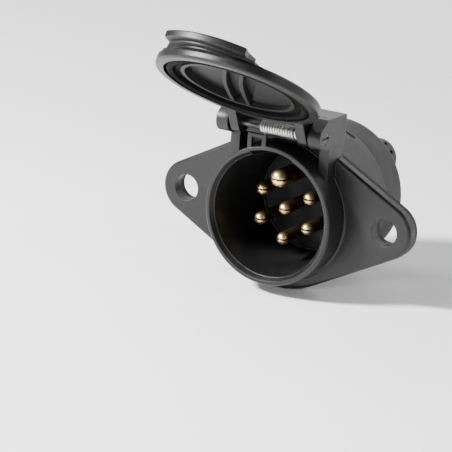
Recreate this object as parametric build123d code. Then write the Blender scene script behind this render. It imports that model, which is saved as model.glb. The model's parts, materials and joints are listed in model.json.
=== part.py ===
from build123d import *
import os
from math import cos, sin, radians, sqrt

# Seven-pin trailer socket for a bumper bracket or panel, with a sprung lid.
# X runs along the line of the two mounting holes, the mouth faces -Y, the lid hinge is at +Z.
# The origin is the middle of the hole line, on the rear face of the gasket (the panel's face).
# All sizes are in millimetres. Depths are measured along Y, back from the front of each piece.

# Mounting flange and its rubber gasket
HOLE_SPACING = 90.0
HOLE_R = 5.45
EAR_R = 11.1             # rounded ends of the flange
FLANGE_MARGIN = 4.6      # flange edge beyond the mouth tube, above and below
FLANGE_T = 4.2
FLANGE_EDGE_R = 1.4
GASKET_T = 2.9
GASKET_INSET = 0.3       # gasket's edge inside the flange's edge
SPIGOT_OUT = 0.6         # raised root of the barrel that centres the gasket
SPIGOT_SHORT = 0.2
GASKET_FIT = 0.4

# Mouth tube in front of the flange, and the tapered cavity inside it
MOUTH_R = 27.9
MOUTH_LENGTH = 13.0
ROOT_BEAD_R = 0.7        # bead round the root of the mouth tube, on the flange
RIM_WALL = 3.0
RIM_EDGE_R = 0.9
RIM_CHAMFER = 1.2
RIM_CHAMFER_DEPTH = 2.0
CAVITY_DEPTH = 35.0
FLOOR_R = 21.6
KEY_WIDTH = 18.0         # guide slot at the top of the mouth
KEY_DEPTH = 18.0
KEY_WALL = 1.6

# Rear barrel, through the panel, and the snap-on cover behind it
BARREL_R = 29.4
BARREL_WALL = 2.2
BARREL_LENGTH = 24.9     # from the panel's face to the seam with the cover
SHOULDER_T = 1.3         # wall between the cavity floor and the rear chamber
COVER_LENGTH = 14.5
COVER_WALL = 2.4
COVER_EDGE_R = 1.8
COVER_FIT = 0.2          # radial gap of the cover's spigot in the barrel
LATCH_COUNT = 4
LATCH_ANGLE = 67.0       # first latch, counted from +X towards +Z
LATCH_WIDTH = 5.0
LATCH_LENGTH = 2.0
LATCH_FIT = 0.2
LATCH_BEHIND = 1.0       # barrel left between a latch window and the seam
LATCH_SHY = 0.4          # tab's face below the barrel's surface
RING_WIRE_R = 0.75       # rubber ring in the spigot's groove
RING_LAND = 0.4          # lip of the spigot in front of the groove

# Contact carrier and the seven pins
CARRIER_FIT = 0.15
CARRIER_SEAL_T = 0.8
CARRIER_T = 2.2
CARRIER_RIM = (0.9, 0.8)  # width and height of the raised edge round the cavity's floor
BOSS_LENGTH = 8.0
BOSS_WALL = 1.5
PIN_R = 2.5
PIN_CIRCLE_R = 12.35
PIN_STAND = 22.5         # pin tips above the cavity floor
EARTH_PIN_R = 3.5        # pin 1, at the top, is thicker and longer
EARTH_PIN_Z = 13.7
EARTH_PIN_STAND = 29.5
PIN_FIT = 0.05
PIN_KNURL = 0.25         # knurled stretch in the carrier, beyond the shank
PIN_STEP = 0.8           # collar of a pin beyond its shank
PIN_SLOT = 0.7           # saw cut that makes the tip springy
PIN_SLOT_DEPTH = 9.0
TERMINAL_TAIL = 7.0      # terminal barrel beyond its boss
WIRE_HOLE_R = 1.9
WIRE_HOLE_DEPTH = 9.0
TERMINAL_SCREW_R = 1.5
TERMINAL_SCREW_TAIL = 1.6
TERMINAL_SCREW_BITE = 0.7
CARRIER_SCREW_R = 1.25
CARRIER_SCREW_HEAD_R = 2.2
CARRIER_SCREW_LENGTH = 8.0
CARRIER_SCREW_COUNT = 3
SCREW_FIT = 0.05
SCREW_SLOT = 0.6         # width and depth of the slot in every screw head

# Cable gland on the cover
GLAND_X = 13.6
GLAND_Z = 13.6
SPOUT_R = 6.9
SPOUT_LENGTH = 4.6
CABLE_SEAL_R = 5.9
CABLE_SEAL_LENGTH = 4.8
CABLE_R = 4.6            # cable that the seal's bore takes
CABLE_FIT = 0.4          # cover and nut clear of the cable
GLAND_RING_T = 0.7
NUT_R = 8.1
NUT_LENGTH = 8.6
NUT_SKIN = 1.9
NUT_FIT = 0.05
NUT_GAP = 0.4            # nut off the cover when tight
NUT_FLUTES = 12
FLUTE_R = 1.0
FLUTE_OUT = 0.5          # centre of a flute outside the nut's surface

# Hinge: block on the flange, pin and spring
HINGE_RISE = 7.5         # pin axis above the mouth tube
HINGE_BEHIND_RIM = 1.0
HINGE_PIN_R = 1.5
HINGE_FIT = 0.05
PIN_HEAD_R = 2.5
PIN_HEAD_T = 0.9
PIN_HEAD_SLOT = (0.9, 0.5)  # width and depth of the slot across the head
PIN_SHORT = 0.1          # pin's ends below the lugs' faces
CLIP_T = 0.8
LUG_INNER_X = 17.8
LUG_T = 5.2
LUG_FRONT = 4.7          # round nose of the lug about the pin axis
LUG_TOP = 6.9
LUG_BOTTOM = 5.0
LUG_BACK = 1.5           # square part of the lug behind the pin axis
LUG_SLOT = (2.8, 1.2, 2.5)
BRIDGE_BEHIND = 5.7      # face of the bridge between the lugs, behind the pin axis
GUSSET_T = 4.2
STAPLE_BESIDE = 1.3      # middle of the spring's anchor to the left of its first turn
STAPLE_WIDTH = 8.2
STAPLE_POST = 1.8
STAPLE_T = 1.5
STAPLE_TOP = 3.4         # top of the anchor below the pin axis
SPRING_R = 2.6
SPRING_WIRE = 0.95
SPRING_END_GAP = 0.75    # last turn off the lid's ear
SPRING_TURNS = 14
SPRING_PITCH = 1.16
SPRING_LEG = 7.2
LEG_PROUD = 0.4          # end of the upper leg above the lid's edge
COIL_OUT = 0.2           # sleeve under the turns, about their middle radius
COIL_IN = 0.3

# Lid, given as it is when closed, and its opening angle at rest
LID_OPEN = 121.0
LID_OVERHANG = 4.0       # lid's edge beyond the mouth tube
LID_GAP = 0.15           # lid rim in front of the mouth rim when closed
LID_DEPTH = 6.8          # from the rim to the flat crown
LID_CROWN_R = 20.0
LID_BRIM = 4.0           # straight wall at the edge, in front of the cone that meets the crown
LID_WALL = 3.4
LID_TOP_T = 1.4
LID_EDGE_R = 1.1
EAR_GAP = 1.0            # lid's ear beside the lug
LID_EAR_T = 3.8
LID_EAR_R = 4.2
EAR_ROOT_IN = 1.5        # foot of the ear inside the lid's edge
EAR_ROOT_BACK = 0.5      # foot of the ear below the lid's rim
HEEL_WIDTH = 3.2
HEEL_GAP = 0.1           # heel of the lid's ear off the bridge when fully open
LIP_REACH = 7.7          # grip lip beyond the lid's edge
LIP_PROUD = 0.8          # lip's face in front of the crown
LIP_ROOT = 6.0           # lip laid on the lid inside its edge
LIP_SPREAD = 41.0        # half of the angle that the lip's root takes up
LIP_TAPER = 5.0
LIP_WIDEN = 2.4          # each layer wider at its root than the one behind
LIP_DROP = 5.8           # corners of the lip behind its nose
LIP_LEAN = (1.3, 1.9)    # lip set over to +X, and its nose slanted back that way
LIP_FACE_T = 2.6
LIP_STEPS = 3
LIP_STEP_T = 0.9
LIP_STEP_IN = 2.6
LIP_EDGE_R = 0.6
SEAL_FIT = 0.1
SEAL_BELOW = 3.2         # seat of the seal below the lid's rim
SEAL_BASE_T = 1.0
SEAL_BEAD_W = 2.4
RETAINER_INSIDE = 6.3    # retainer's ring inside the lid's wall
RETAINER_WALL = 1.5
RETAINER_BELOW = 1.4     # retainer's ring below the lid's rim
RETAINER_FLOOR_T = 0.8
SHELF_BELOW = 3.6        # raised shelf on one side of the retainer
SHELF_TURN = 30.0
SHELF_OFFSET = 6.3
RIB_T = 1.5
RIB_SPACING = 6.4
RIB_OFFSET = -1.5
RIB_TURN = 21.8
RIB_ARC_R = 150.0
RIB_SHY = 0.2            # top of a rib below the ring

# Planes along Y that follow from the sizes above
flange_front = -(FLANGE_T + GASKET_T)
flange_back = -GASKET_T
rim_y = flange_front - MOUTH_LENGTH
floor_y = rim_y + CAVITY_DEPTH
shoulder_y = floor_y + SHOULDER_T
carrier_y = shoulder_y + CARRIER_SEAL_T
carrier_back = carrier_y + CARRIER_T
seam_y = BARREL_LENGTH
cover_back = seam_y + COVER_LENGTH
chamber_r = BARREL_R - BARREL_WALL
spigot_r = chamber_r - COVER_FIT
rim_bore_r = MOUTH_R - RIM_WALL
flange_mid_r = MOUTH_R + FLANGE_MARGIN
hinge_y = rim_y + HINGE_BEHIND_RIM
hinge_z = MOUTH_R + HINGE_RISE
lug_outer_x = LUG_INNER_X + LUG_T
bridge_y = hinge_y + BRIDGE_BEHIND
spigot_front = carrier_back + COVER_FIT
groove_y = spigot_front + RING_LAND + RING_WIRE_R
gasket_bore_r = BARREL_R + SPIGOT_OUT + GASKET_FIT
rim_middle_r = MOUTH_R - RIM_WALL / 2

# Lid and spring, as closed
lid_r = MOUTH_R + LID_OVERHANG
lid_bore_r = lid_r - LID_WALL
lid_rim_y = rim_y - LID_GAP
lid_back_y = lid_rim_y - LID_DEPTH
lid_brim_y = lid_rim_y - LID_BRIM
lid_floor_y = lid_back_y + LID_TOP_T
seal_y = lid_rim_y - SEAL_BELOW
ear_x = LUG_INNER_X - EAR_GAP - LID_EAR_T
lid_turn_x = ear_x - SPRING_END_GAP - SPRING_PITCH
spring_x = lid_turn_x - HINGE_FIT - SPRING_TURNS * SPRING_PITCH
coil_r = SPRING_R - SPRING_WIRE / 2
retainer_r = lid_bore_r - RETAINER_INSIDE


os.makedirs("parts", exist_ok=True)


def write(node, shape):
    """Give one piece its node name and write it."""
    export_step(shape, f"parts/{node}.step")


def along_y(profile, y0, y1):
    """Extrude an XZ profile from the front plane y0 back to y1."""
    return extrude(Pos(0, y1, 0) * (Plane.XZ * profile), y1 - y0)


def along_x(profile, x0, x1):
    """Extrude a YZ profile from x0 to x1."""
    return extrude(Pos(x0, 0, 0) * (Plane.YZ * profile), x1 - x0)


def rod(r, y0, y1, x=0.0, z=0.0):
    """Round bar along Y."""
    return Pos(x, (y0 + y1) / 2, z) * Rot(90, 0, 0) * Cylinder(r, y1 - y0)


def axle(r, x0, x1):
    """Round bar along X on the hinge's axis."""
    return Pos((x0 + x1) / 2, hinge_y, hinge_z) * Rot(0, 90, 0) * Cylinder(r, x1 - x0)


def block(x0, x1, y0, y1, z0, z1):
    """Box between two corners."""
    return Pos((x0 + x1) / 2, (y0 + y1) / 2, (z0 + z1) / 2) * Box(x1 - x0, y1 - y0, z1 - z0)


def turned(*corners):
    """Solid turned about the Y axis, from its (radius, y) corners."""
    return revolve(make_face(Polyline(*corners, close=True)), Axis.Y)


def around_y(angle, shape):
    """Turn a shape that stands at +Z to an angle counted from +X towards +Z."""
    return Rot(0, 90 - angle, 0) * shape


def opened(shape):
    """Swing a piece of the closed lid about the hinge to the rest pose."""
    return shape.rotate(Axis((0, hinge_y, hinge_z), (-1, 0, 0)), LID_OPEN)


def flange_outline(grow=0.0):
    """Two rounded ends joined to a round middle by tangent lines."""
    ends = [Pos(x, 0) * Circle(EAR_R + grow) for x in (-HOLE_SPACING / 2, HOLE_SPACING / 2)]
    return make_hull((ends[0] + ends[1] + Circle(flange_mid_r + grow)).edges())


def mounting_holes():
    return [rod(HOLE_R, flange_front - 1, 1, x) for x in (-HOLE_SPACING / 2, HOLE_SPACING / 2)]


def lug(side):
    """One lug of the hinge block, with the gusset that carries it on the mouth tube."""
    x0, x1 = LUG_INNER_X, lug_outer_x
    front, back = hinge_y + LUG_BACK, flange_back
    bottom, top = hinge_z - LUG_BOTTOM, hinge_z + LUG_TOP
    nose = Pos(hinge_y, hinge_z) * Circle(LUG_FRONT)
    square = Pos((front + back) / 2, (bottom + top) / 2) * Rectangle(back - front, top - bottom)
    cheek = along_x(make_hull((nose + square).edges()), x0, x1)
    gusset = block(x0, x0 + GUSSET_T, bridge_y, flange_back, 0, bottom)
    gusset -= rod(rim_middle_r, rim_y, flange_back)
    shape = cheek + gusset
    return shape if side > 0 else mirror(shape, Plane.YZ)


def staple():
    """Two posts and a cross bar that the spring's lower leg bears on."""
    x0 = spring_x - STAPLE_BESIDE - STAPLE_WIDTH / 2
    x1 = x0 + STAPLE_WIDTH
    y0, y1 = hinge_y - STAPLE_T / 2, hinge_y + STAPLE_T / 2
    foot, top = rim_middle_r - STAPLE_WIDTH / 4, hinge_z - STAPLE_TOP
    posts = [block(x, x + STAPLE_POST, y0, y1, foot, top) for x in (x0, x1 - STAPLE_POST)]
    return [*posts, block(x0, x1, y0, y1, top - STAPLE_T, top)]


def latches(inner_r, outer_r, clearance):
    """Blocks round the barrel: the windows when clearance is added, else the tabs."""
    middle = seam_y - LATCH_BEHIND - LATCH_LENGTH / 2
    width, length = LATCH_WIDTH + 2 * clearance, LATCH_LENGTH + 2 * clearance
    tab = block(-width / 2, width / 2, middle - length / 2, middle + length / 2, inner_r, outer_r)
    return [around_y(LATCH_ANGLE + n * 360 / LATCH_COUNT, tab) for n in range(LATCH_COUNT)]


def carrier_screw_places():
    """Screws on the shoulder ring, between the cavity and the barrel's wall."""
    r = (FLOOR_R + chamber_r) / 2
    angles = [90 + n * 360 / CARRIER_SCREW_COUNT for n in range(CARRIER_SCREW_COUNT)]
    return [(r * cos(radians(a)), r * sin(radians(a))) for a in angles]


def pin_places():
    """Number, x, z, shank radius and stand of each contact, with the thick pin 1 at the top."""
    places = [(1, 0.0, EARTH_PIN_Z, EARTH_PIN_R, EARTH_PIN_STAND)]
    for n, angle in enumerate((30, -30, -90, -150, 150), start=2):
        x, z = PIN_CIRCLE_R * cos(radians(angle)), PIN_CIRCLE_R * sin(radians(angle))
        places.append((n, x, z, PIN_R, PIN_STAND))
    places.append((7, 0.0, 0.0, PIN_R, PIN_STAND))
    return places


def make_housing():
    """Flange, mouth, rear barrel and hinge block, moulded in one."""
    flange = along_y(flange_outline(), flange_front, flange_back)
    flange = fillet(flange.edges().group_by(Axis.Y)[0], FLANGE_EDGE_R)
    tube = rod(MOUTH_R, rim_y, flange_back)
    tube = fillet(tube.edges().group_by(Axis.Y)[0], RIM_EDGE_R)
    bead = Pos(0, flange_front, 0) * Rot(90, 0, 0) * Torus(MOUTH_R, ROOT_BEAD_R)
    barrel = rod(BARREL_R, flange_back, seam_y) + rod(BARREL_R + SPIGOT_OUT, flange_back, -SPIGOT_SHORT)
    bridge = block(-LUG_INNER_X, LUG_INNER_X, bridge_y, flange_back,
                   hinge_z - LUG_BOTTOM, hinge_z + LUG_TOP)
    neck = block(-LUG_INNER_X, LUG_INNER_X, flange_front, flange_back, 0, hinge_z - LUG_BOTTOM)
    shape = Part() + [flange, tube, bead, barrel, bridge, neck, lug(1), lug(-1), *staple()]

    taper = (rim_bore_r - FLOOR_R) / CAVITY_DEPTH
    shape -= turned((0, rim_y - 1), (rim_bore_r + taper, rim_y - 1), (FLOOR_R, floor_y), (0, floor_y))
    mouth_r, mouth_end = rim_bore_r + RIM_CHAMFER, rim_y + RIM_CHAMFER_DEPTH
    shape -= turned((0, rim_y - 1), (mouth_r, rim_y - 1), (mouth_r, rim_y), (rim_bore_r, mouth_end),
                    (0, mouth_end))
    key = rod(MOUTH_R - KEY_WALL, rim_y - 1, rim_y + KEY_DEPTH)
    shape -= key & block(-KEY_WIDTH / 2, KEY_WIDTH / 2, rim_y - 1, rim_y + KEY_DEPTH, 0, MOUTH_R)
    shape -= rod(FLOOR_R, floor_y, shoulder_y)
    shape -= rod(chamber_r, shoulder_y, seam_y + 1)
    shape -= latches(chamber_r - 1, BARREL_R + 1, LATCH_FIT)
    shape -= [rod(CARRIER_SCREW_R, shoulder_y - CARRIER_SCREW_LENGTH, shoulder_y, x, z)
              for x, z in carrier_screw_places()]
    shape -= mounting_holes()
    shape -= axle(HINGE_PIN_R + HINGE_FIT, -lug_outer_x - 1, lug_outer_x + 1)
    shape -= axle(PIN_HEAD_R + HINGE_FIT, lug_outer_x - PIN_HEAD_T, lug_outer_x + 1)
    shape -= axle(PIN_HEAD_R + HINGE_FIT, -lug_outer_x - 1, -lug_outer_x + PIN_HEAD_T)
    length, width, depth = LUG_SLOT
    slot = Box(length, width, 2 * depth)
    shape -= Pos(LUG_INNER_X + LUG_T / 3, hinge_y + LUG_FRONT, hinge_z + LUG_TOP) * slot
    return shape


def make_gasket():
    shape = along_y(flange_outline(-GASKET_INSET), flange_back, 0)
    return shape - rod(gasket_bore_r, flange_back - 1, 1) - mounting_holes()


def make_carrier():
    """Moulded disc that holds the contacts, with a boss behind each of them."""
    rim_w, rim_h = CARRIER_RIM
    shape = rod(FLOOR_R - CARRIER_FIT, floor_y - rim_h, carrier_y)
    shape -= rod(FLOOR_R - CARRIER_FIT - rim_w, floor_y - rim_h, floor_y)
    shape += rod(chamber_r - CARRIER_FIT, carrier_y, carrier_back)
    for _, x, z, r, _ in pin_places():
        shape += rod(r + PIN_STEP + BOSS_WALL, carrier_back, carrier_back + BOSS_LENGTH, x, z)
    for _, x, z, r, _ in pin_places():
        shape -= rod(r + PIN_KNURL + PIN_FIT, floor_y - 1, carrier_y, x, z)
        shape -= rod(r + PIN_STEP + PIN_FIT, carrier_y, carrier_back + BOSS_LENGTH + 1, x, z)
    for x, z in carrier_screw_places():
        shape -= rod(CARRIER_SCREW_R + SCREW_FIT, carrier_y - 1, carrier_back + 1, x, z)
        shape -= Pos(x, 0, z) * screw_head(SCREW_FIT)
    return shape


def screw_head(grow=0.0):
    """Countersunk head, flush with the back of the carrier."""
    depth = CARRIER_SCREW_HEAD_R - CARRIER_SCREW_R
    return turned((0, carrier_back), (CARRIER_SCREW_HEAD_R + grow, carrier_back),
                  (CARRIER_SCREW_R + grow, carrier_back - depth), (0, carrier_back - depth))


def make_carrier_seal():
    """Flat ring between the housing's shoulder and the carrier."""
    ring = rod(chamber_r - CARRIER_FIT, shoulder_y, carrier_y)
    ring -= rod(FLOOR_R + CARRIER_FIT, shoulder_y - 1, carrier_y + 1)
    return ring - [rod(CARRIER_SCREW_R + SCREW_FIT, shoulder_y - 1, carrier_y + 1, x, z)
                   for x, z in carrier_screw_places()]


def make_carrier_screws():
    shank_end = shoulder_y - CARRIER_SCREW_LENGTH + CARRIER_SCREW_R
    screw = rod(CARRIER_SCREW_R - SCREW_FIT, shank_end, carrier_back) + screw_head()
    screw -= Pos(0, carrier_back, 0) * Box(2 * CARRIER_SCREW_HEAD_R, 2 * SCREW_SLOT, SCREW_SLOT)
    return Compound([Pos(x, 0, z) * screw for x, z in carrier_screw_places()])


def screw_y():
    """Plane of the terminal screws, halfway along the terminal tails."""
    return carrier_back + BOSS_LENGTH + TERMINAL_TAIL / 2


def screw_angle(x, z):
    """Each screw is driven from outside the ring of contacts, the middle one from above."""
    return 90.0 if x == 0 and z == 0 else Vector(x, z).get_signed_angle(Vector(1, 0), Vector(0, 0, -1))


def make_pin(x, z, r, stand):
    """Turned contact: sawn tip, shank, collar in the carrier, drilled terminal."""
    tip, neck, end = floor_y - stand, carrier_y, carrier_back + BOSS_LENGTH + TERMINAL_TAIL
    nose = ThreePointArc((0, tip), (r * sin(radians(45)), tip + r * (1 - cos(radians(45)))), (r, tip + r))
    shank = Polyline((r, tip + r), (r, floor_y), (r + PIN_KNURL, floor_y), (r + PIN_KNURL, neck),
                     (r + PIN_STEP, neck), (r + PIN_STEP, end), (0, end), (0, tip))
    shape = revolve(make_face(nose + shank), Axis.Y)
    shape -= rod(WIRE_HOLE_R, end - WIRE_HOLE_DEPTH, end + 1)
    shape -= block(-r - 1, r + 1, tip - 1, tip + PIN_SLOT_DEPTH, -PIN_SLOT / 2, PIN_SLOT / 2)
    hole = Pos(0, screw_y(), 5) * Cylinder(TERMINAL_SCREW_R, 10)
    shape -= around_y(screw_angle(x, z), hole)
    return Pos(x, 0, z) * shape


def make_terminal_screws():
    """Slotted screws that clamp the wires, one in each terminal."""
    screws = []
    for _, x, z, r, _ in pin_places():
        low, high = WIRE_HOLE_R - TERMINAL_SCREW_BITE, r + PIN_STEP + TERMINAL_SCREW_TAIL
        screw = Pos(0, screw_y(), (low + high) / 2) * Cylinder(TERMINAL_SCREW_R - SCREW_FIT, high - low)
        screw -= Pos(0, screw_y(), high) * Box(2 * TERMINAL_SCREW_R, SCREW_SLOT, 2 * SCREW_SLOT)
        screws.append(Pos(x, 0, z) * around_y(screw_angle(x, z), screw))
    return Compound(screws)


def make_cover():
    """Snap-on cover with a spigot in the barrel and a spout for the cable gland."""
    inner_r = spigot_r - BARREL_WALL
    shape = rod(BARREL_R, seam_y, cover_back)
    shape = fillet(shape.edges().group_by(Axis.Y)[-1], COVER_EDGE_R)
    shape += rod(spigot_r, spigot_front, seam_y)
    shape -= rod(inner_r, spigot_front - 1, cover_back - COVER_WALL)
    shape += latches((inner_r + spigot_r) / 2, BARREL_R - LATCH_SHY, 0)
    groove = rod(spigot_r + 1, groove_y - RING_WIRE_R, groove_y + RING_WIRE_R)
    shape -= groove - rod(chamber_r - 2 * RING_WIRE_R, spigot_front, seam_y)
    shape += rod(SPOUT_R, cover_back - COVER_WALL, cover_back + SPOUT_LENGTH, GLAND_X, GLAND_Z)
    shape -= rod(CABLE_SEAL_R, cover_back, cover_back + SPOUT_LENGTH + 1, GLAND_X, GLAND_Z)
    shape -= rod(CABLE_R + CABLE_FIT, cover_back - COVER_WALL - 1, cover_back + 1, GLAND_X, GLAND_Z)
    return shape


def make_cover_ring():
    return Pos(0, groove_y, 0) * Rot(90, 0, 0) * Torus(chamber_r - RING_WIRE_R, RING_WIRE_R)


def make_cable_seal():
    """Rubber sleeve in the spout, squeezed on to the cable by the nut."""
    y1 = cover_back + CABLE_SEAL_LENGTH
    return rod(CABLE_SEAL_R, cover_back, y1, GLAND_X, GLAND_Z) - rod(
        CABLE_R, cover_back - 1, y1 + 1, GLAND_X, GLAND_Z)


def make_gland_ring():
    y0 = cover_back + CABLE_SEAL_LENGTH
    return rod(CABLE_SEAL_R, y0, y0 + GLAND_RING_T, GLAND_X, GLAND_Z) - rod(
        CABLE_R + CABLE_FIT, y0 - 1, y0 + GLAND_RING_T + 1, GLAND_X, GLAND_Z)


def make_gland_nut():
    """Fluted cap nut on the spout."""
    y0, y1 = cover_back + NUT_GAP, cover_back + NUT_LENGTH
    seat = cover_back + CABLE_SEAL_LENGTH + GLAND_RING_T
    shape = rod(NUT_R, y0, y1)
    shape = fillet(shape.edges().group_by(Axis.Y)[-1], NUT_SKIN)
    flute = rod(FLUTE_R, y0, y1 - 2 * NUT_SKIN, 0, NUT_R + FLUTE_OUT)
    shape -= [around_y(n * 360 / NUT_FLUTES, flute) for n in range(NUT_FLUTES)]
    shape -= rod(SPOUT_R + NUT_FIT, y0 - 1, seat)
    shape -= rod(CABLE_R + CABLE_FIT, y0, y1 + 1)
    return Pos(GLAND_X, 0, GLAND_Z) * shape


def make_hinge_pin():
    """Pin through both lugs, headed at +X."""
    end, tip = lug_outer_x - PIN_HEAD_T, lug_outer_x - PIN_SHORT
    width, depth = PIN_HEAD_SLOT
    slot = block(tip - depth, tip, hinge_y - PIN_HEAD_R, hinge_y + PIN_HEAD_R, -width / 2, width / 2)
    return axle(HINGE_PIN_R, -tip, end) + axle(PIN_HEAD_R, end, tip) - Pos(0, 0, hinge_z) * slot


def make_pin_clip():
    """Push-on washer that keeps the pin at -X."""
    start = -lug_outer_x + PIN_HEAD_T - CLIP_T
    return axle(PIN_HEAD_R, start, start + CLIP_T) - axle(HINGE_PIN_R, start - 1, start + CLIP_T + 1)


def coil(x0, turns):
    """Close-wound turns as one body: a sleeve with a round ridge for each turn."""
    sleeve = axle(coil_r + COIL_OUT, x0, x0 + turns * SPRING_PITCH)
    for n in range(turns):
        place = Pos(x0 + (n + 0.5) * SPRING_PITCH, hinge_y, hinge_z) * Rot(0, 90, 0)
        sleeve += place * Torus(coil_r, SPRING_WIRE / 2)
    return sleeve - axle(coil_r - COIL_IN, x0 - 1, x0 + turns * SPRING_PITCH + 1)


def make_spring():
    """Torsion spring round the pin, with its leg behind the anchor."""
    leg = Pos(spring_x + SPRING_PITCH / 2, hinge_y + coil_r, hinge_z - SPRING_LEG / 2)
    return coil(spring_x, SPRING_TURNS) + leg * Cylinder(SPRING_WIRE / 2, SPRING_LEG)


def make_spring_lid_leg():
    """Last turn of the same spring and its leg on the lid, as closed."""
    leg_x = lid_turn_x + SPRING_PITCH / 2
    leg_end = sqrt(lid_r ** 2 - leg_x ** 2) + LEG_PROUD
    place = Pos(leg_x, hinge_y - coil_r, (leg_end + hinge_z) / 2)
    leg = Cylinder(SPRING_WIRE / 2, hinge_z - leg_end)
    return opened(coil(lid_turn_x, 1) + place * leg)


def ear(side):
    """Hinge ear of the closed lid: eye, arm to the lid's edge, and the heel that stops it."""
    root_z = sqrt(lid_r ** 2 - (ear_x + LID_EAR_T) ** 2) - EAR_ROOT_IN
    eye = Pos(hinge_y, hinge_z) * Circle(LID_EAR_R)
    y0, y1 = lid_brim_y + LID_EDGE_R, lid_rim_y - EAR_ROOT_BACK
    foot = Pos((y0 + y1) / 2, root_z) * Rectangle(y1 - y0, EAR_ROOT_BACK)
    arm = make_hull((eye + foot).edges())
    reach = bridge_y - hinge_y - HEEL_GAP
    heel = Pos(reach / 2, HEEL_WIDTH / 2) * Rectangle(reach, HEEL_WIDTH)
    heel = Pos(hinge_y, hinge_z) * Rot(0, 0, LID_OPEN) * heel
    shape = along_x(arm + heel, ear_x, ear_x + LID_EAR_T)
    return shape if side > 0 else mirror(shape, Plane.YZ)


def lip(step):
    """One layer of the grip lip at the free edge; layers step in towards the rim."""
    inset = step * LIP_STEP_IN
    tip = lid_r + LIP_REACH - inset
    widest = lid_r * sin(radians(LIP_SPREAD))
    half_base = widest - (LIP_STEPS - 1 - step) * LIP_WIDEN
    half_tip, base_z = widest - LIP_TAPER - inset / 2, sqrt(lid_r ** 2 - half_base ** 2)
    root_z = base_z - LIP_ROOT
    over, slant = LIP_LEAN
    left, right = (over - half_tip, LIP_DROP - tip - slant), (over + half_tip, LIP_DROP - tip + slant)
    edge = Polyline(left, (-half_base, -base_z), (-half_base, -root_z), (half_base, -root_z),
                    (half_base, -base_z), right)
    nose = ThreePointArc(right, (over, -tip), left)
    y0 = lid_back_y - LIP_PROUD
    if step == 0:
        face = along_y(make_face(edge + nose), y0, y0 + LIP_FACE_T)
        return fillet(face.edges().group_by(Axis.Y)[0], LIP_EDGE_R)
    y0 += LIP_FACE_T + (step - 1) * LIP_STEP_T
    return along_y(make_face(edge + nose), y0, y0 + LIP_STEP_T)


def make_lid():
    """Shallow cap with a grip lip, and two ears round the hinge pin."""
    shape = turned((0, lid_rim_y), (lid_r, lid_rim_y), (lid_r, lid_brim_y), (LID_CROWN_R, lid_back_y),
                   (0, lid_back_y))
    shape = fillet(shape.edges().filter_by(GeomType.CIRCLE).group_by(SortBy.RADIUS)[-1], LID_EDGE_R)
    for step in range(LIP_STEPS):
        shape += lip(step)
    shape += [ear(1), ear(-1)]
    shape -= rod(lid_bore_r, seal_y, lid_rim_y + 1) + rod(retainer_r + SEAL_FIT, lid_floor_y, seal_y)
    shape -= axle(HINGE_PIN_R + HINGE_FIT, -lug_outer_x, lug_outer_x)
    return opened(shape)


def make_lid_seal():
    """Rubber ring in the lid, with a bead that meets the mouth's rim."""
    outer, inner = lid_bore_r - SEAL_FIT, retainer_r + SEAL_FIT
    base = seal_y + SEAL_BASE_T
    bead_0, bead_1 = rim_middle_r - SEAL_BEAD_W / 2, rim_middle_r + SEAL_BEAD_W / 2
    return opened(turned((inner, seal_y), (outer, seal_y), (outer, base), (bead_1, base),
                         (bead_1, lid_rim_y - SEAL_BEAD_W / 4), (rim_middle_r, lid_rim_y),
                         (bead_0, lid_rim_y - SEAL_BEAD_W / 4), (bead_0, base), (inner, base)))


def rib(offset):
    """Curved stiffening rib across the retainer, seen from inside the lid."""
    bow = Pos(RIB_ARC_R, 0) * (Circle(RIB_ARC_R + RIB_T / 2) - Circle(RIB_ARC_R - RIB_T / 2))
    return Rot(0, 0, RIB_TURN) * Pos(offset, 0) * bow


def make_retainer():
    """Dished disc that clips the seal in, stiffened by a shelf and two ribs."""
    ring_y, floor = lid_rim_y - RETAINER_BELOW, lid_floor_y + RETAINER_FLOOR_T
    inner = retainer_r - RETAINER_WALL
    shape = rod(retainer_r, lid_floor_y, ring_y) - rod(inner, floor, ring_y + 1)
    inside = Circle(inner + RETAINER_WALL / 2)
    shelf = Rot(0, 0, SHELF_TURN) * Pos(SHELF_OFFSET + inner, 0) * Rectangle(2 * inner, 4 * inner)
    shape += along_y(inside & shelf, lid_floor_y, lid_rim_y - SHELF_BELOW)
    for offset in (RIB_OFFSET - RIB_SPACING / 2, RIB_OFFSET + RIB_SPACING / 2):
        shape += along_y(inside & rib(offset), lid_floor_y, ring_y - RIB_SHY)
    return opened(shape)


write("housing", make_housing())
write("mounting_gasket", make_gasket())
write("contact_carrier", make_carrier())
write("carrier_seal", make_carrier_seal())
write("carrier_screws", make_carrier_screws())
for number, x, z, r, stand in pin_places():
    write(f"contact_pin_{number}", make_pin(x, z, r, stand))
write("terminal_screws", make_terminal_screws())
write("rear_cover", make_cover())
write("cover_ring", make_cover_ring())
write("cable_seal", make_cable_seal())
write("gland_ring", make_gland_ring())
write("gland_nut", make_gland_nut())
write("hinge_pin", make_hinge_pin())
write("hinge_pin_clip", make_pin_clip())
write("lid_spring", make_spring())
write("spring_lid_leg", make_spring_lid_leg())
write("lid", make_lid())
write("lid_seal", make_lid_seal())
write("seal_retainer", make_retainer())
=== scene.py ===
import json
import math

import bpy
from mathutils import Matrix, Vector


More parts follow.
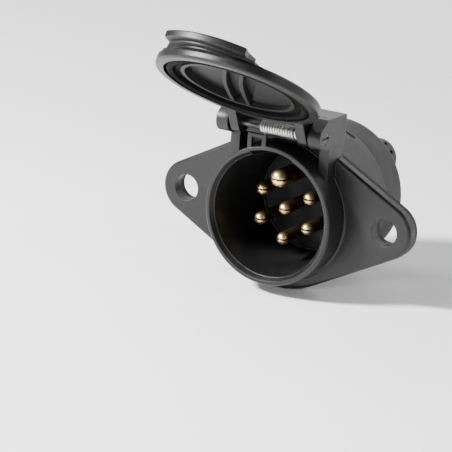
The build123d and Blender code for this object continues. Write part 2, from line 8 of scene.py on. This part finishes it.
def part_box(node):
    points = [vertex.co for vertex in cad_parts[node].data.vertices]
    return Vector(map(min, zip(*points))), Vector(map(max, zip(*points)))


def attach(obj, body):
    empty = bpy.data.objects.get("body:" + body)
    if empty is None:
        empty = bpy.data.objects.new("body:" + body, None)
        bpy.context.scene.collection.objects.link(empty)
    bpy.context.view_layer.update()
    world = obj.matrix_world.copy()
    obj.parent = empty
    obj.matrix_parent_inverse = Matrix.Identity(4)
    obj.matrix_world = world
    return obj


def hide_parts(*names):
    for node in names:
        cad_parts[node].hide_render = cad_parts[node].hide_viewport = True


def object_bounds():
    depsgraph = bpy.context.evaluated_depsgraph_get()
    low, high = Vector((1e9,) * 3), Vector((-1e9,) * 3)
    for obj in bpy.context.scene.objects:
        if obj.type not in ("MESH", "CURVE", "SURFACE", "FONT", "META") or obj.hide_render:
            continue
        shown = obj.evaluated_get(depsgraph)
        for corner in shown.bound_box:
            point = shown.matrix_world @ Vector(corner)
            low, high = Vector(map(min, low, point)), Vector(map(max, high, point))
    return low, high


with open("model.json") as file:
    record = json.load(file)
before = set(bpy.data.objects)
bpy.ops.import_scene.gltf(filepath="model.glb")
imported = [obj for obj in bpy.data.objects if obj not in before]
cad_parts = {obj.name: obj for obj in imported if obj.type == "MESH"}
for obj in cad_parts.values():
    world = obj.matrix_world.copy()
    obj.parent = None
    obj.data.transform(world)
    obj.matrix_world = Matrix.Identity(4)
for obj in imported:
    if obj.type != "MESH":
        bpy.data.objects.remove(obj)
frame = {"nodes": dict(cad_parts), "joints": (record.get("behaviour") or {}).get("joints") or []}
cad_low, cad_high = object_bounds()
scene = bpy.context.scene


# Housing: flange, mouth tube, rear barrel and hinge block in one moulding of black
# glass-filled nylon. The tool was spark eroded, so its skin has a fine even grain with
# slow patches of gloss, and handling has left faint rubs on the edges and a few hairlines.
class Signal:
    """A value that varies over a surface; Python's operators add its Math nodes."""

    def __init__(self, graph, socket):
        self.graph = graph
        self.socket = socket

    def math(self, operation, first, second=0.0):
        return self.graph.node("ShaderNodeMath", {"operation": operation}, {0: first, 1: second})

    def __add__(self, other):
        return self.math("ADD", self, other)

    def __mul__(self, other):
        return self.math("MULTIPLY", self, other)

    def __truediv__(self, other):
        return self.math("DIVIDE", self, other)

    def __sub__(self, other):
        return self.math("SUBTRACT", self, other)

    def __rsub__(self, other):
        return self.math("SUBTRACT", other, self)

    __radd__ = __add__
    __rmul__ = __mul__

    def sine(self):
        return self.math("SINE", self)

    def cosine(self):
        return self.math("COSINE", self)

    def window(self, low, high):
        """0 below low, 1 above high, and a smooth step between."""
        settings = {"interpolation_type": "SMOOTHSTEP"}
        return self.graph.node("ShaderNodeMapRange", settings, {0: self, 1: low, 2: high})


class Graph:
    """A node tree, whose nodes all come from the node method."""

    def __init__(self, tree):
        self.tree = tree

    def node(self, kind, settings=(), inputs=(), output=0):
        made = self.tree.nodes.new(kind)
        for name, value in dict(settings).items():
            setattr(made, name, value)
        for name, value in dict(inputs).items():
            if isinstance(value, Signal):
                self.tree.links.new(value.socket, made.inputs[name])
            else:
                made.inputs[name].default_value = value
        if made.outputs:
            return Signal(self, made.outputs[output])
        return None


class Finish(Graph):
    """A material with one Principled shader."""

    def __init__(self, name, **constants):
        self.material = bpy.data.materials.new(name)
        self.material.use_nodes = True
        super().__init__(self.material.node_tree)
        self.shader = self.tree.nodes["Principled BSDF"]
        for socket, value in constants.items():
            self.shader.inputs[socket.replace("_", " ")].default_value = value
        self.place = self.node("ShaderNodeTexCoord", output="Object")

    def noise(self, scale, detail=2.0, place=None, roughness=0.5):
        inputs = {"Vector": place or self.place, "Scale": scale}
        inputs.update({"Detail": detail, "Roughness": roughness})
        return self.node("ShaderNodeTexNoise", {}, inputs, "Fac")

    def stretched(self, factors, turn=(0.0, 0.0, 0.0)):
        """The place drawn out along an axis, for marks that run one way."""
        inputs = {"Vector": self.place, "Rotation": turn, "Scale": factors}
        return self.node("ShaderNodeMapping", {}, inputs)

    def blend(self, factor, first, second):
        """Mix of two colours; each is a triple or a signal."""
        ends = [c if isinstance(c, Signal) else (*c, 1.0) for c in (first, second)]
        settings = {"data_type": "RGBA"}
        return self.node("ShaderNodeMix", settings, {0: factor, 6: ends[0], 7: ends[1]}, 2)

    def rounded(self, radius):
        """Normals that run softly round each edge."""
        return self.node("ShaderNodeBevel", {"samples": 4}, {"Radius": radius})

    def edges(self, radius):
        """Near 1 along the sharp edges, 0 on open faces."""
        flat = self.node("ShaderNodeNewGeometry", output="Normal")
        along = self.node("ShaderNodeVectorMath", {"operation": "DOT_PRODUCT"},
                          {0: flat, 1: self.rounded(radius)}, "Value")
        return (1.0 - along).window(0.004, 0.12)

    def bump(self, height, depth, under=None):
        inputs = {"Height": height, "Distance": depth, "Strength": 1.0}
        if under is not None:
            inputs["Normal"] = under
        return self.node("ShaderNodeBump", {}, inputs)

    def wear(self, **signals):
        """Join the varying values to the shader, and give the finished material."""
        for socket, signal in signals.items():
            self.tree.links.new(signal.socket, self.shader.inputs[socket.replace("_", " ")])
        return self.material


def moulded_nylon(name, dark, light, gloss, offset):
    """Black moulded nylon; offset moves its patches so that no two pieces match."""
    nylon = Finish(name, IOR=1.5, Specular_IOR_Level=0.34)
    shift = nylon.node("ShaderNodeMapping", {}, {"Vector": nylon.place, "Location": offset})
    grain = nylon.noise(2400.0, 3.0, shift, 0.6)
    cloud = nylon.noise(70.0, 3.0, shift)
    rub = nylon.noise(900.0, 2.0, nylon.stretched((0.05, 1.0, 0.3), (0.4, 0.3, 0.9)))
    hairline = rub.window(0.69, 0.76) * cloud.window(0.45, 0.6)
    worn = nylon.edges(0.0005) * nylon.noise(350.0, 2.0, shift).window(0.35, 0.65)
    shade = cloud.window(0.3, 0.7) * 0.4 + grain * 0.3 + hairline * 0.4 + worn * 0.9
    colour = nylon.blend(shade.window(0.0, 1.6), dark, light)
    rough = gloss + cloud.window(0.3, 0.7) * 0.1 + grain * 0.08 - hairline * 0.06 - worn * 0.05
    normal = nylon.bump(grain + cloud * 0.8 + hairline * 0.3, 0.00006, nylon.rounded(0.00035))
    return nylon.wear(Base_Color=colour, Roughness=rough, Normal=normal)


def dress(material, *nodes):
    """Give CAD nodes a material."""
    for name in nodes:
        slots = frame["nodes"][name].data.materials
        slots.clear()
        slots.append(material)


body_dark, body_light = (0.004, 0.004, 0.0042), (0.018, 0.018, 0.0186)
body_nylon = moulded_nylon("body_nylon", body_dark, body_light, 0.31, (0.0, 0.0, 0.0))
dress(body_nylon, "housing")


# Mounting gasket: die-cut sheet of EPDM rubber between the flange and the panel. The
# sheet was calendered, so it is dull, with a soft cloth-like print and cut edges.
rubber = Finish("gasket_rubber", IOR=1.5)
threads = {"Vector": rubber.place, "Scale": 420.0, "Distortion": 1.5, "Detail": 1.0}
warp = rubber.node("ShaderNodeTexWave", {"bands_direction": "X"}, threads, "Fac")
weft = rubber.node("ShaderNodeTexWave", {"bands_direction": "Z"}, threads, "Fac")
bloom = rubber.noise(110.0, 4.0)
weave = warp * weft
gasket_rubber = rubber.wear(
    Base_Color=rubber.blend(bloom.window(0.35, 0.7), (0.014, 0.014, 0.0145), (0.032, 0.032, 0.033)),
    Roughness=0.66 + bloom * 0.16,
    Normal=rubber.bump(weave + bloom * 0.8, 0.00005, rubber.rounded(0.0002)))
dress(gasket_rubber, "mounting_gasket")


# Contact carrier and gland ring: the same nylon family without glass, plain black and
# duller, moulded in a polished tool with fine swirls left by the flow.
inner = Finish("inner_nylon", IOR=1.5, Specular_IOR_Level=0.2)
swirl = inner.noise(220.0, 4.0, inner.noise(40.0, 2.0))
speck = inner.noise(1500.0, 2.0)
inner_nylon = inner.wear(
    Base_Color=inner.blend(swirl.window(0.3, 0.7), (0.004, 0.004, 0.0042), (0.012, 0.012, 0.0125)),
    Roughness=0.44 + swirl * 0.14 + speck * 0.06,
    Normal=inner.bump(speck + swirl, 0.00004, inner.rounded(0.0003)))
dress(inner_nylon, "contact_carrier", "gland_ring")


# Seals: rings and a sleeve of moulded rubber, pressed into their seats. The rubber has a
# low sheen and fine pits, and is dusted with talc that stays in the low spots.
soft = Finish("seal_rubber", IOR=1.4, Specular_IOR_Level=0.15)
talc = soft.noise(380.0, 5.0, None, 0.65)
pit = soft.noise(1900.0, 2.0)
seal_rubber = soft.wear(
    Base_Color=soft.blend(talc.window(0.45, 0.75), (0.002, 0.002, 0.002), (0.006, 0.006, 0.006)),
    Roughness=0.72 + talc * 0.2,
    Normal=soft.bump(pit + talc * 0.6, 0.00005))
dress(seal_rubber, "carrier_seal", "cover_ring", "cable_seal", "lid_seal")


# Contacts: seven split pins turned from brass bar. The tool left fine rings round each
# shank. The plug rubs the domed tips bright. Behind them the colour is painted dark brown:
# partly toned brass, mostly painted shade of the deep mouth that the shanks stand in.
def turned_brass(name, tip_y):
    """Brass of one pin: bright near its tip, painted dark further back as painted shade of the
    mouth, with some toning.
    """
    brass = Finish(name, Metallic=1.0)
    depth = brass.node("ShaderNodeSeparateXYZ", {}, {"Vector": brass.place}, "Y") - tip_y
    rings = brass.noise(1400.0, 2.0, brass.stretched((0.08, 6.0, 0.08)))
    film = brass.noise(180.0, 4.0)
    spots = brass.noise(700.0, 3.0).window(0.6, 0.8)
    # painted shade: from about 2 mm behind the tip the brass turns dark brown, for the shade in the
    # deep mouth and partly for toning
    toning_and_shade = (depth + film * 0.002).window(0.0022, 0.0046)
    bright = brass.blend(film.window(0.3, 0.75), (0.95, 0.75, 0.42), (0.8, 0.56, 0.25))
    dull_and_shaded = brass.blend(film.window(0.3, 0.75), (0.075, 0.04, 0.014), (0.035, 0.018, 0.007))
    return brass.wear(
        Base_Color=brass.blend(toning_and_shade * 0.92 + spots * 0.08, bright, dull_and_shaded),
        Roughness=0.2 + film * 0.12 + rings * 0.1 + toning_and_shade * 0.16,
        Normal=brass.bump(rings + spots * 0.4, 0.00002, brass.rounded(0.0002)))


for number in range(1, 8):
    pin = f"contact_pin_{number}"
    dress(turned_brass(f"contact_brass_{number}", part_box(pin)[0].y), pin)


# Screws: steel with bright zinc and a thin clear passivate that shows blue in places
# and yellow in others.
steel = Finish("screw_steel", Metallic=1.0)
tint = steel.noise(240.0, 3.0)
drawn = steel.noise(1800.0, 2.0, steel.stretched((0.06, 1.0, 1.0)))
plated = steel.blend(tint.window(0.3, 0.7), (0.66, 0.68, 0.71), (0.7, 0.66, 0.57))
screw_steel = steel.wear(
    Base_Color=steel.blend(drawn.window(0.6, 0.8) * 0.5, plated, (0.42, 0.42, 0.42)),
    Roughness=0.24 + tint * 0.12 + drawn * 0.1,
    Normal=steel.bump(drawn + tint * 0.5, 0.00002, steel.rounded(0.0002)))
dress(screw_steel, "carrier_screws", "terminal_screws")


# Hinge pin and its washer: turned steel with a black oxide film. The film was oiled, and
# it has worn thin in scuffs where the lid turns on it.
oxide = Finish("oxide_steel", Metallic=1.0)
patchy = oxide.noise(320.0, 4.0)
scuffed = oxide.noise(900.0, 2.0, oxide.stretched((0.2, 1.0, 1.0))).window(0.58, 0.75)
bared = patchy.window(0.3, 0.7) * 0.5 + scuffed * 0.5
oxide_steel = oxide.wear(
    Base_Color=oxide.blend(bared, (0.035, 0.035, 0.036), (0.2, 0.2, 0.2)),
    Roughness=0.34 + patchy * 0.14,
    Normal=oxide.bump(patchy + scuffed, 0.00002, oxide.rounded(0.0002)))
dress(oxide_steel, "hinge_pin", "hinge_pin_clip")


# Rear cover and cap nut: snap-on cover in the body's nylon from its own tool, and the
# fluted nut of the cable gland, which hands and pliers have rubbed a little brighter.
cover_nylon = moulded_nylon("cover_nylon", body_dark, body_light, 0.4, (0.31, 0.12, 0.07))
dress(cover_nylon, "rear_cover")
nut_dark, nut_light = (0.006, 0.006, 0.0062), (0.03, 0.03, 0.031)
nut_nylon = moulded_nylon("nut_nylon", nut_dark, nut_light, 0.36, (0.05, 0.4, 0.2))
dress(nut_nylon, "gland_nut")


# Lid: moulded in the body's nylon, a little glossier on the outside where it was polished
# for the hand. The disc that clips its seal in is in the carrier's plain nylon.
lid_light = (0.02, 0.02, 0.0206)
lid_nylon = moulded_nylon("lid_nylon", body_dark, lid_light, 0.28, (0.21, 0.33, 0.5))
dress(lid_nylon, "lid")
dress(inner_nylon, "seal_retainer")


# Lid spring: one torsion spring of bright drawn steel wire round the hinge pin. Its lower
# leg stands behind the anchor on the mouth, and the last turn and upper leg go with the
# lid. The coiling machine leaves the turns nearly closed, with die lines along the wire.
wire = 0.00095              # thickness
coil_radius = 0.002125      # to the middle of the wire
whole_turns = 14
body_pitch = 0.00112        # from turn to turn on the housing's part
lid_turns = 1.02            # part of the coil that goes with the lid
lid_gap = 0.00035           # between the two parts, so that they clear when the lid moves
lid_leg = 0.0052            # length along the lid
end_inset = 0.00053         # middle of the end turn to the end of the coil
hinge = Vector(frame["joints"][0]["pos_m"])
opened = math.radians(121.0)
housing_leg_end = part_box("lid_spring")[0]
first_x = housing_leg_end.x + end_inset
last_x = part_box("spring_lid_leg")[1].x - end_inset
leg_angle = math.pi - opened
lid_share = math.tau * lid_turns
body_share = whole_turns * math.tau + leg_angle - lid_share
lid_pitch = (last_x - first_x - body_share / math.tau * body_pitch - lid_gap) / lid_turns

drawn_wire = Finish("spring_steel", Metallic=1.0)
die_line = drawn_wire.noise(2600.0, 2.0, drawn_wire.stretched((1.0, 0.3, 0.3)))
oil = drawn_wire.noise(260.0, 3.0)
spring_steel = drawn_wire.wear(
    Base_Color=drawn_wire.blend(oil.window(0.35, 0.7), (0.6, 0.6, 0.57), (0.4, 0.4, 0.37)),
    Roughness=0.2 + oil * 0.16 + die_line * 0.12,
    Normal=drawn_wire.bump(die_line, 0.00002))

spring_tree = bpy.data.node_groups.new("wound_wire", "GeometryNodeTree")
spring_tree.is_modifier = True
for label in ("Leg", "Coiled", "Radius", "Pitch", "Start X", "Start Angle", "Sense", "Wire"):
    spring_tree.interface.new_socket(label, in_out="INPUT", socket_type="NodeSocketFloat")
spring_tree.interface.new_socket("Centre", in_out="INPUT", socket_type="NodeSocketVector")
spring_tree.interface.new_socket("Steps", in_out="INPUT", socket_type="NodeSocketInt")
spring_tree.interface.new_socket("Material", in_out="INPUT", socket_type="NodeSocketMaterial")
spring_tree.interface.new_socket("Geometry", in_out="OUTPUT", socket_type="NodeSocketGeometry")
winding = Graph(spring_tree)
given = {item.name: winding.node("NodeGroupInput", output=item.name)
         for item in spring_tree.interface.items_tree if item.in_out == "INPUT"}
wire_length = given["Leg"] + given["Coiled"]
past_leg = winding.node("GeometryNodeSplineParameter", output="Factor") * wire_length - given["Leg"]
turned = past_leg.math("MAXIMUM", past_leg, 0.0) / given["Radius"]
straight = past_leg.math("MINIMUM", past_leg, 0.0) * given["Sense"]
start = given["Start Angle"]
angle = start + turned * given["Sense"]
round_hinge = winding.node("ShaderNodeCombineXYZ", {}, {
    "X": given["Start X"] + given["Pitch"] * turned * given["Sense"] * (1.0 / math.tau),
    "Y": angle.cosine() * given["Radius"] - start.sine() * straight,
    "Z": angle.sine() * given["Radius"] + start.cosine() * straight})
route = winding.node("ShaderNodeVectorMath", {"operation": "ADD"},
                     {0: round_hinge, 1: given["Centre"]}, "Vector")
blank = winding.node("GeometryNodeCurvePrimitiveLine", {}, {"End": (1.0, 0.0, 0.0)})
stepped = winding.node("GeometryNodeResampleCurve", {}, {"Curve": blank, "Count": given["Steps"]})
wound = winding.node("GeometryNodeSetPosition", {}, {"Geometry": stepped, "Position": route})
section = winding.node("GeometryNodeCurvePrimitiveCircle", {},
                       {"Resolution": 14, "Radius": given["Wire"] * 0.5}, "Curve")
solid_wire = winding.node("GeometryNodeCurveToMesh", {},
                          {"Curve": wound, "Profile Curve": section, "Fill Caps": True})
smooth_wire = winding.node("GeometryNodeSetShadeSmooth", {}, {"Geometry": solid_wire})
real_wire = winding.node("GeometryNodeRealizeInstances", {}, {"Geometry": smooth_wire})
steel_wire = winding.node("GeometryNodeSetMaterial", {},
                          {"Geometry": real_wire, "Material": given["Material"]})
winding.node("NodeGroupOutput", {}, {"Geometry": steel_wire})


def grown(name, tree, **inputs):
    """A plain mesh piece from a geometry tree and the values of its named inputs."""
    piece = bpy.data.objects.new(name, bpy.data.meshes.new(name))
    scene.collection.objects.link(piece)
    modifier = piece.modifiers.new(name, "NODES")
    modifier.node_group = tree
    for item in tree.interface.items_tree:
        if item.in_out == "INPUT":
            modifier[item.identifier] = inputs[item.name.replace(" ", "_")]
    bpy.context.view_layer.update()
    evaluated = piece.evaluated_get(bpy.context.evaluated_depsgraph_get())
    made = bpy.data.meshes.new_from_object(evaluated)
    piece.modifiers.clear()
    piece.data = made
    return piece


coil = {"Radius": coil_radius, "Wire": wire, "Material": spring_steel}
coil["Centre"] = (0.0, hinge.y, hinge.z)
spring = grown("lid_spring_wire", spring_tree, Leg=hinge.z - housing_leg_end.z, Start_X=first_x,
               Start_Angle=0.0, Coiled=body_share * coil_radius, Pitch=body_pitch, Sense=1.0,
               Steps=700, **coil)
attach(spring, "housing")
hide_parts("lid_spring")
spring_end = grown("lid_spring_end", spring_tree, Leg=lid_leg, Start_X=last_x,
                   Start_Angle=leg_angle, Coiled=lid_share * coil_radius, Pitch=lid_pitch,
                   Sense=-1.0, Steps=80, **coil)
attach(spring_end, "lid")
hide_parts("spring_lid_leg")


# Floor: a wide sheet of pale matt paper that the connector stands on, curved up behind it.
# It isn't part of the connector. It glows faintly further out, so that it stays pale.
floor_mesh = bpy.data.meshes.new("floor")
reach, rise, bend, half_width = 1.6, 1.6, 0.35, 2.56
bend_steps = 24
bend_angles = [math.pi / 2 * step / bend_steps for step in range(1, bend_steps + 1)]
profile = [(-reach, 0.0), (reach - bend, 0.0)]
profile += [(reach - bend + bend * math.sin(t), bend - bend * math.cos(t)) for t in bend_angles]
profile += [(reach, rise)]
corners = [(side * half_width, y, z + cad_low.z) for y, z in profile for side in (-1, 1)]
strips = [(2 * k, 2 * k + 1, 2 * k + 3, 2 * k + 2) for k in range(len(profile) - 1)]
floor_mesh.from_pydata(corners, [], strips)
for polygon in floor_mesh.polygons:
    polygon.use_smooth = True
floor = bpy.data.objects.new("floor", floor_mesh)
scene.collection.objects.link(floor)
paper = Finish("floor_paper", IOR=1.45, Emission_Strength=0.9)
tooth = paper.noise(900.0, 2.0)
distance = paper.node("ShaderNodeVectorMath", {"operation": "LENGTH"}, {0: paper.place}, "Value")
away = distance.window(0.2, 1.2)
floor_paper = paper.wear(
    Base_Color=paper.blend(tooth, (0.93, 0.93, 0.93), (0.97, 0.97, 0.97)),
    Emission_Color=paper.blend(away, (0.05, 0.05, 0.05), (1.0, 1.0, 1.0)),
    Roughness=0.75 + tooth * 0.1,
    Normal=paper.bump(tooth, 0.00003))
floor_mesh.materials.append(floor_paper)


# Studio light: a dim white room, a strong key box high on the left in front, and three weak
# boxes: above, behind on the right, and straight in front.
world = bpy.data.worlds.new("studio")
world.use_nodes = True
room = world.node_tree.nodes["Background"]
room.inputs["Color"].default_value = (1.0, 1.0, 1.0, 1.0)
room.inputs["Strength"].default_value = 0.1
scene.world = world


def soft_box(name, stand, aim, size, power):
    """A rectangular lamp that stands at one point and faces another."""
    lamp = bpy.data.lights.new(name, "AREA")
    lamp.shape = "RECTANGLE"
    lamp.size, lamp.size_y = size
    lamp.energy = power
    box = bpy.data.objects.new(name, lamp)
    scene.collection.objects.link(box)
    box.location = stand
    box.rotation_euler = (Vector(aim) - Vector(stand)).to_track_quat("-Z", "Y").to_euler()


soft_box("key", stand=(-0.47, -0.62, 0.58), aim=(0.0, -0.05, 0.06), size=(0.16, 0.12), power=36.0)
soft_box("over", stand=(-0.55, -0.1, 0.7), aim=(0.0, 0.0, 0.02), size=(0.2, 0.2), power=2.5)
soft_box("rim", stand=(0.7, 0.1, 0.45), aim=(0.0, 0.0, 0.0), size=(0.12, 0.12), power=2.0)
soft_box("front", stand=(0.05, -1.0, 0.3), aim=(0.0, 0.0, 0.0), size=(0.12, 0.12), power=3.5)


# Camera: a long lens a little above the connector and to its right, rolled a few degrees.
# Turn goes round the connector from its front, and tilt is the angle that it looks down.
turn, tilt, roll = math.radians(30.566), math.radians(16.986), math.radians(3.661)
back = Vector((math.sin(turn) * math.cos(tilt), -math.cos(turn) * math.cos(tilt), math.sin(tilt)))
level = Vector((math.cos(turn), math.sin(turn), 0.0))
up = back.cross(level)
right = math.cos(roll) * level + math.sin(roll) * up
up = math.cos(roll) * up - math.sin(roll) * level
lens = bpy.data.cameras.new("camera")
lens.sensor_width = 36.0
lens.lens = 163.15
lens.clip_start = 0.01
lens.clip_end = 20.0
camera = bpy.data.objects.new("camera", lens)
scene.collection.objects.link(camera)
camera.matrix_world = Matrix((right, up, back)).transposed().to_4x4()
camera.location = (0.37476, -0.68447, 0.22814)
scene.camera = camera
